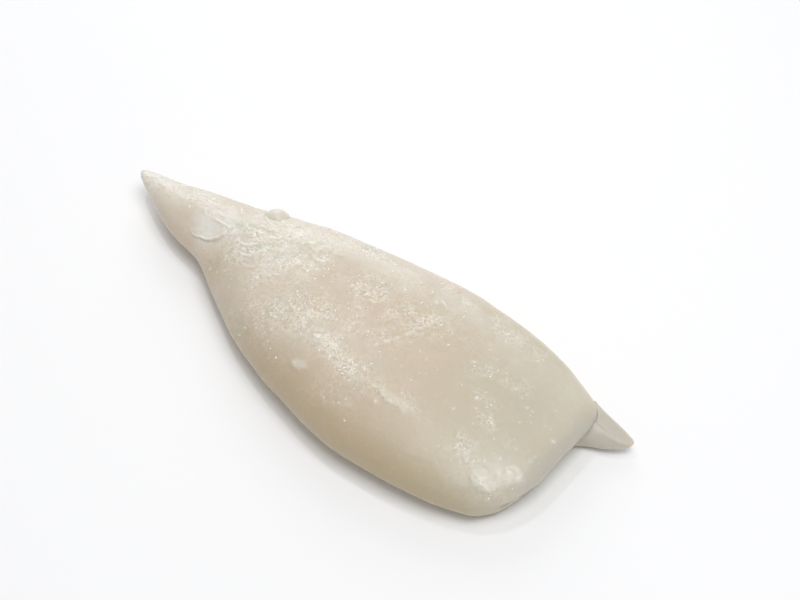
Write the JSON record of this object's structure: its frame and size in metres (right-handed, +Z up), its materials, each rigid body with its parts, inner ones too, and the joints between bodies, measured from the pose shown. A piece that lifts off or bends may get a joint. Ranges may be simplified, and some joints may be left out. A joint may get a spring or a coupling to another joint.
{
  "type": "cleaned squid tube",
  "caption": "Frozen cleaned squid tube, a flattened finless body sac with a slender tail, a closed mouth and a pointed lobe, to cook whole or slice.",
  "frame": {"origin": "centre of the footprint's bounding box, on the surface that the tube lies on", "axes": "+X from the tail to the mouth, +Z up out of the surface that it lies on, +Y to the side of the lobe"},
  "size_m": [0.2, 0.0738, 0.0236],
  "materials": {
    "mantle": "cream-white translucent squid flesh under a thin, frosty ice glaze"
  },
  "bodies": {
    "root": {"mantle": "mantle"}
  },
  "joints": []
}
